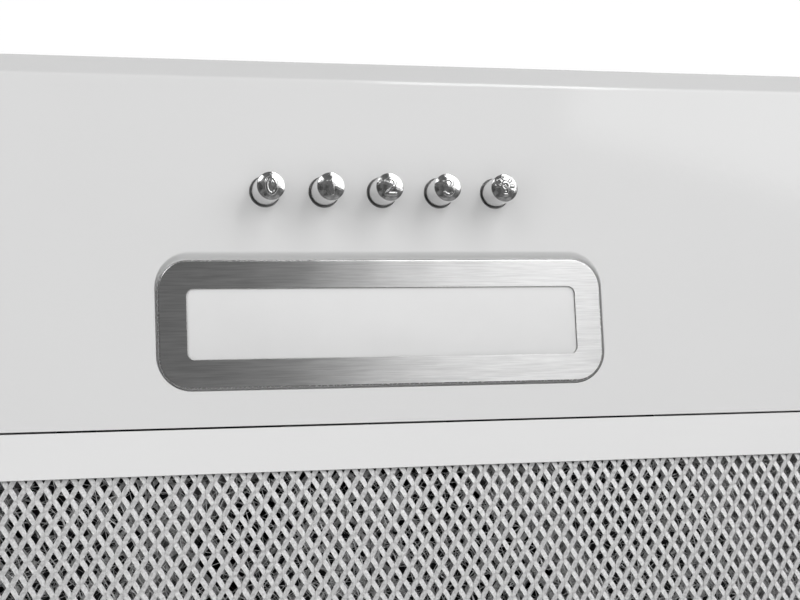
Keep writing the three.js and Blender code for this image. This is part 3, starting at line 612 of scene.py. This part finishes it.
def paint_bezel(piece, face):
    """The face is brushed along X; the rolled edges are polished. The UV map carries the brushing."""
    uv = piece.data.uv_layers.new(name="brushing")
    for polygon in piece.data.polygons:
        heights = [piece.data.vertices[v].co.z for v in polygon.vertices]
        polygon.material_index = 0 if max(heights) - face < FLATNESS else 1
        for corner in polygon.loop_indices:
            point = piece.data.vertices[piece.data.loops[corner].vertex_index].co
            uv.data[corner].uv = (point.x, point.y)


# ---------------------------------------------------------------- buttons
def arc(cu, cv, radius_u, radius_v, start, end, steps=24):
    """A stroke along an ellipse, from a start to an end angle in degrees."""
    angles = [math.radians(start + (end - start) * i / steps) for i in range(steps + 1)]
    return [(cu + radius_u * math.cos(a), cv + radius_v * math.sin(a)) for a in angles]


def lamp_strokes():
    """A bulb with its neck and foot, and five rays."""
    bulb = [arc(0, 0.5, 1.3, 1.3, -60, 240, 30)]
    neck = [[(-0.6, -0.7), (-0.6, -1.7)], [(0.6, -0.7), (0.6, -1.7)]]
    foot = [[(-0.6, -1.7), (0.6, -1.7)], [(-0.5, -2.5), (0.5, -2.5)]]
    rays = []
    for degrees in (0, 45, 90, 135, 180):
        u = math.cos(math.radians(degrees))
        v = math.sin(math.radians(degrees))
        rays.append([(2.1 * u, 0.5 + 2.1 * v), (2.9 * u, 0.5 + 2.9 * v)])
    return bulb + neck + foot + rays


def glyph_strokes(name):
    """Strokes of the figure on each button, in millimetres; u to the right, v towards the front."""
    return {
        "button_0": [arc(0, 0, 1.7, 2.7, 0, 360, 40)],
        "button_1": [[(0.3, 2.6), (0.3, -2.6)], [(0.3, 2.6), (-0.9, 1.5)]],
        "button_2": [arc(0, 1.2, 1.5, 1.4, 165, -35) + [(-1.6, -2.5)], [(-1.6, -2.5), (1.7, -2.5)]],
        "button_3": [arc(0, 1.3, 1.35, 1.25, 150, -90), arc(0, -1.3, 1.55, 1.35, 90, -150)],
        "button_light": lamp_strokes(),
    }[name]


def stroke_distance(points, strokes):
    """Distance in millimetres from each point to the nearest stroke."""
    tiny = 1e-9
    nearest = np.full(len(points), np.inf)
    for stroke in strokes:
        for a, b in zip(stroke, stroke[1:]):
            a = np.array(a)
            along = np.array(b) - a
            share = np.clip((points - a) @ along / max(along @ along, tiny), 0, 1)
            gap = points - a - share[:, None] * along
            nearest = np.minimum(nearest, np.hypot(gap[:, 0], gap[:, 1]))
    return nearest


def smooth_step(value):
    """Eases from 0 to 1."""
    value = np.clip(value, 0, 1)
    return value * value * (3 - 2 * value)


def dome_points(name, centre, rim_z, dome_low, sides, rings):
    """Rings of points over the dome, from the rim inwards, with the raised figure."""
    height = rim_z - dome_low - RELIEF
    sphere = (BUTTON_RADIUS ** 2 + height ** 2) / (2 * height)
    radii = np.repeat(np.linspace(1, 0, rings, endpoint=False), sides) * (BUTTON_RADIUS - BUTTON_EDGE)
    turns = np.tile(2 * np.pi * np.arange(sides) / sides, rings)
    x = radii * np.cos(turns)
    y = radii * np.sin(turns)
    cap = np.sqrt(sphere ** 2 - radii ** 2) - (sphere - height)
    local = np.stack([x, -y], axis=1) / MM
    distance = stroke_distance(local, glyph_strokes(name))
    raised = RELIEF * smooth_step(1 - (distance - HALF_STROKE) / STROKE_SLOPE)
    z = rim_z - cap - raised
    return np.stack([centre.x + x, centre.y + y, z], axis=1)


def button_profile(top, rim):
    """Radius and height of the stem, the flange above the panel and the barrel, down to the dome's rim."""
    round_off = 0.3 * MM
    corner = 0.2 * MM
    flange_low = UNDERSIDE + SHEET + 0.3 * MM
    flange_high = flange_low + FLANGE_THICKNESS
    return [
        (corner, top),
        (STEM_RADIUS - round_off, top),
        (STEM_RADIUS, top - round_off),
        (STEM_RADIUS, flange_high),
        (FLANGE_RADIUS - corner, flange_high),
        (FLANGE_RADIUS, flange_high - corner),
        (FLANGE_RADIUS, flange_low + corner),
        (FLANGE_RADIUS - corner, flange_low),
        (BUTTON_RADIUS, flange_low),
        (BUTTON_RADIUS, UNDERSIDE),
        (BUTTON_RADIUS, rim + 3 * BUTTON_EDGE),
        (BUTTON_RADIUS, rim + BUTTON_EDGE),
        (BUTTON_RADIUS - 0.3 * BUTTON_EDGE, rim + 0.3 * BUTTON_EDGE),
    ]


def make_button(name):
    """A chrome button: stem, flange, barrel, and a dome with a raised figure."""
    sides = 120
    rings = 52
    centre = middle(name)
    rim = UNDERSIDE - BUTTON_REACH
    shell = Shell()
    loops = [shell.loop(circle(centre, radius, z, sides)) for radius, z in button_profile(high(name).z, rim)]
    dome = dome_points(name, centre, rim, low(name).z, sides, rings)
    for ring in range(rings):
        loops.append(shell.loop([tuple(p) for p in dome[ring * sides:(ring + 1) * sides]]))
    shell.chain(loops)
    shell.faces.append(tuple(loops[0]))
    shell.faces.append(tuple(loops[-1]))
    piece = make_piece(name + "_cap", shell.verts, shell.faces, MATERIALS["chrome_button"],
                       name + "_body", [name])
    turn_outwards(piece)
    piece.data.set_sharp_from_angle(angle=SHARP_ANGLE)


# ---------------------------------------------------------------- grease filter
def tube_mesh(sections):
    """Joins runs of cross-sections, each an array (stations, corners, 3); four corners get closed ends."""
    verts = []
    quads = []
    first = 0
    for run in sections:
        stations, corners, _ = run.shape
        verts.append(run.reshape(-1, 3))
        index = first + np.arange(stations * corners).reshape(stations, corners)
        here = index[:-1]
        there = index[1:]
        walls = np.stack([here, np.roll(here, -1, 1), np.roll(there, -1, 1), there], axis=-1)
        quads.append(walls.reshape(-1, 4))
        if corners == 4:
            quads.append(np.stack([index[0][::-1], index[-1]]))
        first += stations * corners
    return np.concatenate(verts), np.concatenate(quads)


def mesh_from_arrays(name, verts, quads):
    """A mesh from an array of points and an array of faces."""
    mesh = bpy.data.meshes.new(name)
    mesh.vertices.add(len(verts))
    mesh.vertices.foreach_set("co", verts.astype(np.float32).ravel())
    mesh.loops.add(quads.size)
    mesh.loops.foreach_set("vertex_index", quads.astype(np.int32).ravel())
    mesh.polygons.add(len(quads))
    mesh.polygons.foreach_set("loop_start", np.arange(0, quads.size, quads.shape[1], dtype=np.int32))
    mesh.update(calc_edges=True)
    mesh.validate()
    return mesh


def hole_half_width(along, column, first_row, pitch):
    """How far the nearest hole of a column reaches to each side, at places along the strand."""
    half_row = pitch["y"] / 2
    stagger = 0 if column % 2 == 0 else half_row
    from_hole = np.mod(along - first_row - stagger + half_row, pitch["y"]) - half_row
    share = from_hole / (pitch["hole_length"] / 2)
    return np.interp(share, HOLE_PLACES, HOLE_OPENING) * pitch["hole_width"] / 2


def expanded_strand(column, first_row, z, pitch):
    """A strand of expanded metal along Y, between two columns of holes, bonded to the next strands."""
    count = math.ceil((FILTER_HIGH.y - first_row) / pitch["step"])
    along = first_row + pitch["step"] * np.arange(count)
    along = along[(along > FILTER_LOW.y) & (along < FILTER_HIGH.y)]
    line = column * pitch["x"] / 2 + pitch["shift"]
    left = line + hole_half_width(along, column, first_row, pitch)
    right = line + pitch["x"] / 2 - hole_half_width(along, column + 1, first_row, pitch)
    low_edge = z - pitch["twist"] / 2
    high_edge = z + pitch["twist"] / 2
    corners = []
    for edge, height in ((right, high_edge), (left, low_edge), (left, low_edge + pitch["thick"]),
                         (right, high_edge + pitch["thick"])):
        corners.append(np.stack([edge, along, np.full_like(edge, height)], axis=1))
    return np.stack(corners, axis=1)


def expanded_sheet(name, pitch, x0, x1, z, first_row, hides):
    """A width of expanded metal across the filter, as one piece, shaded flat."""
    half_pitch = pitch["x"] / 2
    first_column = math.ceil((x0 - pitch["shift"]) / half_pitch)
    columns = range(first_column, math.floor((x1 - pitch["shift"]) / half_pitch))
    verts, quads = tube_mesh([expanded_strand(column, first_row, z, pitch) for column in columns])
    mesh = mesh_from_arrays(name, verts, quads)
    make_object(name, mesh, MATERIALS["filter_aluminium"], "filter", hides, smooth=False)


def make_filter_meshes():
    """The fine front mesh, in three widths, and the coarser back mesh."""
    first_row = LAMP_CENTRE.y + FIRST_ROW
    z = (FILTER_LOW.z + FILTER_HIGH.z) / 2 - FINE_MESH["thick"] / 2
    reach = MIDDLE_COLUMNS * FINE_MESH["x"] / 2
    edges = (FILTER_LOW.x, FINE_MESH["shift"] - reach, FINE_MESH["shift"] + reach, FILTER_HIGH.x)
    for side, x0, x1 in zip(("left", "middle", "right"), edges, edges[1:]):
        hides = ["filter_front_mesh"] if side == "middle" else []
        expanded_sheet("filter_mesh_" + side, FINE_MESH, x0, x1, z, first_row, hides)
    expanded_sheet("filter_backing", COARSE_MESH, FILTER_LOW.x, FILTER_HIGH.x, low("filter_back_mesh").z,
                   FILTER_LOW.y, ["filter_back_mesh"])


def inside_filter(plan):
    """Which points of a plan lie within the filter's frame."""
    x, y = plan.T
    return ((np.abs(x) < FILTER_HIGH.x - FOIL_MARGIN) & (y > FILTER_LOW.y + FOIL_MARGIN)
            & (y < FILTER_HIGH.y - FOIL_MARGIN))


def foil_strand(rng, centre, sideways):
    """A thin wedge-shaped section at each point of a strand, turned at random."""
    spin = rng.uniform(0, 2 * math.pi, len(centre))
    breadth = rng.uniform(*FOIL_BREADTH, len(centre))[:, None]
    side = np.array([*sideways, 0.0])
    up = np.array([0.0, 0.0, 1.0])
    lean = np.outer(np.cos(spin), side) + np.outer(np.sin(spin), up)
    thin = np.outer(-np.sin(spin), side) + np.outer(np.cos(spin), up)
    corners = [centre + breadth * lean, centre - breadth * lean + FOIL_THICKNESS * thin,
               centre - breadth * lean - FOIL_THICKNESS * thin]
    return np.stack(corners, axis=1)


def crinkled_layer(rng, turn, level, depth):
    """Thin zigzag foil strands across the filter, at an angle, with every bend out of place."""
    direction = np.array([math.sin(turn), math.cos(turn)])
    sideways = np.array([math.cos(turn), -math.sin(turn)])
    centre = np.array([0.0, (FILTER_LOW.y + FILTER_HIGH.y) / 2])
    bends = int(2 * FOIL_REACH / FOIL_ALONG)
    places = (np.arange(bends) - bends / 2) * FOIL_ALONG
    strands = []
    for i in range(int(-FOIL_REACH / FOIL_ACROSS), int(FOIL_REACH / FOIL_ACROSS)):
        zigzag = np.where((np.arange(bends) + i) % 2 == 0, FOIL_SWING, -FOIL_SWING)
        swing = zigzag + rng.normal(0, FOIL_SWING_ERROR, bends)
        along = places + rng.normal(0, FOIL_ALONG_ERROR, bends)
        plan = centre + np.outer(along, direction) + np.outer(i * FOIL_ACROSS + swing, sideways)
        z = level + rng.uniform(-depth, depth, bends)
        kept = np.flatnonzero(inside_filter(plan))
        if len(kept) >= FOIL_SHORTEST:
            strands.append(foil_strand(rng, np.column_stack([plan[kept], z[kept]]), sideways))
    return strands


def make_filter_core():
    """Three layers of crinkled foil, each at its own angle."""
    rng = np.random.default_rng(FOIL_SEED)
    floor = low("filter_core").z
    strands = []
    for degrees, level, depth in FOIL_LAYERS:
        strands += crinkled_layer(rng, math.radians(degrees), floor + level, depth)
    verts, quads = tube_mesh(strands)
    mesh = mesh_from_arrays("filter_foil", verts, quads)
    make_object("filter_foil", mesh, FOIL, "filter", ["filter_core"])


# ---------------------------------------------------------------- CAD pieces that stay
def finish_cad_nodes():
    """Gives each CAD node its material, and rounds its sheet edges a little."""
    slots = {entry["node"]: entry["material_slot"] for entry in frame["record"]["subparts"]}
    for name, node in frame["nodes"].items():
        node.data.materials.clear()
        node.data.materials.append(MATERIALS[slots[name]])
        weld = node.modifiers.new("weld", "WELD")
        weld.merge_threshold = WELD_DISTANCE
        add_bevel(node, CAD_EDGE)


# ---------------------------------------------------------------- stage and light
def make_floor():
    """A plain grey floor far below the hood, which the metal doesn't mirror."""
    reach = 14.0
    level = -3.2
    corners = [(-reach, -reach, level), (reach, -reach, level), (reach, reach, level), (-reach, reach, level)]
    mesh = bpy.data.meshes.new("floor")
    mesh.from_pydata(corners, [], [(0, 1, 2, 3)])
    floor = bpy.data.objects.new("floor", mesh)
    bpy.context.scene.collection.objects.link(floor)
    material, shader = new_material("floor", Roughness=0.8)
    clouds = object_noise(material, scale=1.5)
    link(material, tint(material, clouds, grey(0.38), grey(0.39)), shader.inputs["Base Color"])
    mesh.materials.append(material)
    floor.visible_glossy = False


def make_backdrop():
    """A white shell round the studio, seen by the camera only, so that it neither lights nor shades."""
    bm = bmesh.new()
    bmesh.ops.create_uvsphere(bm, u_segments=48, v_segments=24, radius=30.0)
    mesh = bpy.data.meshes.new("backdrop")
    bm.to_mesh(mesh)
    bm.free()
    backdrop = bpy.data.objects.new("backdrop", mesh)
    bpy.context.scene.collection.objects.link(backdrop)
    material, _ = new_material("backdrop", Base_Color=grey(0.0), Emission_Color=grey(1.0),
                               Emission_Strength=1.0)
    mesh.materials.append(material)
    backdrop.visible_diffuse = False
    backdrop.visible_glossy = False
    backdrop.visible_transmission = False
    backdrop.visible_shadow = False


def world_gradient(world, direction):
    """Grey by height: dark below the hood, lighter above it."""
    stops = ((0.1, 0.12), (0.25, 0.13), (0.5, 0.13), (0.7, 0.25), (0.87, 1.0))
    separate = add_node(world, "ShaderNodeSeparateXYZ")
    height = add_node(world, "ShaderNodeMapRange", From_Min=-1.0, From_Max=1.0)
    ramp = add_node(world, "ShaderNodeValToRGB")
    link(world, direction, separate.inputs["Vector"])
    link(world, separate.outputs["Z"], height.inputs["Value"])
    link(world, height.outputs["Result"], ramp.inputs["Fac"])
    elements = ramp.color_ramp.elements
    elements[0].color = grey(stops[0][1])
    elements[1].color = grey(stops[-1][1])
    for position, value in stops:
        elements.new(position).color = grey(value)
    return ramp.outputs["Color"]


def world_patches(world, direction):
    """Uneven brightness, as of a furnished room."""
    patches = add_node(world, "ShaderNodeTexNoise", Scale=5.0, Detail=4.0)
    contrast = add_node(world, "ShaderNodeMapRange", From_Min=0.35, From_Max=0.65, To_Min=0.3, To_Max=1.8)
    link(world, direction, patches.inputs["Vector"])
    link(world, patches.outputs["Fac"], contrast.inputs["Value"])
    return contrast.outputs["Result"]


def make_world():
    """A grey studio, dark below the hood, with uneven patches for the chrome to mirror."""
    world = bpy.data.worlds.new("studio")
    bpy.context.scene.world = world
    world.use_nodes = True
    direction = add_node(world, "ShaderNodeTexCoord").outputs["Generated"]
    background = world.node_tree.nodes["Background"]
    link(world, world_gradient(world, direction), background.inputs["Color"])
    link(world, world_patches(world, direction), background.inputs["Strength"])


def soft_box(name, corner, right, up, radiance):
    """An area light given by one corner and its two edges, so that its reflection can be placed."""
    right = Vector(right)
    up = Vector(up)
    up -= up.project(right)
    away = right.normalized().cross(up.normalized())
    data = bpy.data.lights.new(name, "AREA")
    data.shape = "RECTANGLE"
    data.size = right.length
    data.size_y = up.length
    data.energy = radiance * math.pi * data.size * data.size_y
    light = bpy.data.objects.new(name, data)
    bpy.context.scene.collection.objects.link(light)
    turn = Matrix((right.normalized(), up.normalized(), away)).transposed()
    light.matrix_world = Matrix.Translation(Vector(corner) + right / 2 + up / 2) @ turn.to_4x4()
    light.visible_camera = False
    return light


def make_lights():
    """Boxes and a card that the metal mirrors, then wide fills that it doesn't mirror."""
    soft_box("key", (0.552, -0.504, -1.355), (0.653, 0.322, 0.532), (-0.119, -0.864, 0.599), 1.6)
    soft_box("front_strip", (0.31, -0.70, -1.25), (0.27, 0, 0), (0, -0.80, 0.75), 3.7)
    soft_box("left_box", (-0.80, -0.85, -1.25), (0.42, -0.25, 0), (-0.18, -0.3, 0.35), 3.4)
    soft_box("rear_card", (1.2, 0.5, -1.45), (-2.0, 0, 0), (0, 0.8, 0.6), 0.13)
    fills = (
        soft_box("floor_fill", (-2.2, 1.6, -1.5), (2.6, 0, 0), (0, -2.6, 0), 0.40),
        soft_box("left_fill", (-1.4, 1.0, -1.6), (0, -2.4, 0), (-0.85, 0, 0.85), 1.4),
        soft_box("under_fill", (-0.4, 0.9, -1.7), (0.8, 0, 0), (0, -1.6, 0), 0.68),
    )
    for fill in fills:
        fill.visible_glossy = False


make_camera()
make_front_panel()
make_bezel()
make_lens()
for button_name in BUTTONS:
    make_button(button_name)
make_filter_meshes()
make_filter_core()
finish_cad_nodes()
make_floor()
make_backdrop()
make_world()
make_lights()
bpy.context.scene.view_settings.view_transform = "Standard"
